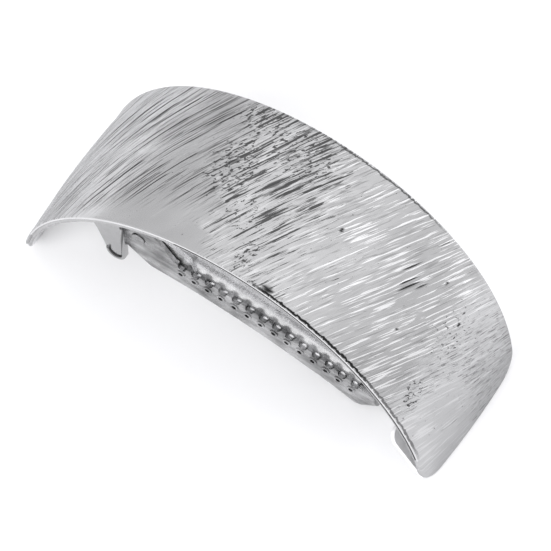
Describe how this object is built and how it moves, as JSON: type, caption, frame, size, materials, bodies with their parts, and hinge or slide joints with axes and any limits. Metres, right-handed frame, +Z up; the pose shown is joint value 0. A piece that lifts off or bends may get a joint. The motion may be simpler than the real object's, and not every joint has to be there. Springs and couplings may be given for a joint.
{
  "type": "alligator hair clip",
  "caption": "Arched scored-metal cuff that stands over a sprung alligator clip with a toothed lower jaw, finger tabs and a fixed upper jaw; it holds a ponytail or a lock of hair.",
  "frame": {"origin": "on the table under the middle of the cuff, which stands on its two end edges", "axes": "+X runs along the arch from the finger tabs to the jaw's nose, +Y runs across the cuff and along the hinge pin, +Z points up"},
  "size_m": [0.0748, 0.0282, 0.0355],
  "materials": {
    "cuff_silver": "bright silver plating over a face scored with long shallow grooves",
    "clip_steel": "nickel-plated stamped sheet, smooth and slightly worn",
    "pin_steel": "plain riveted pin",
    "spring_wire": "drawn spring wire",
    "solder": "dull, slightly lumpy solder"
  },
  "bodies": {
    "cuff_frame": {"cuff_plate": "cuff_silver", "upper_jaw": "clip_steel", "front_anchor_plate": "cuff_silver", "rear_strut": "clip_steel", "hinge_pin": "pin_steel", "hinge_spring": "spring_wire", "front_solder": "solder", "rear_solder": "solder", "tongue_solder": "solder"},
    "jaw": {"lower_jaw": "clip_steel", "near_finger_tab": "clip_steel", "far_finger_tab": "clip_steel"}
  },
  "joints": [
    {"name": "jaw_hinge", "type": "hinge", "parent": "cuff_frame", "child": "jaw", "pos_m": [-0.0198, 0, 0.013], "axis": [0, 1, 0], "range_deg": [0, 20], "stiffness_Nm_per_rad": 0.12, "springref_deg": -34.38, "deforming": ["hinge_spring"]}
  ]
}
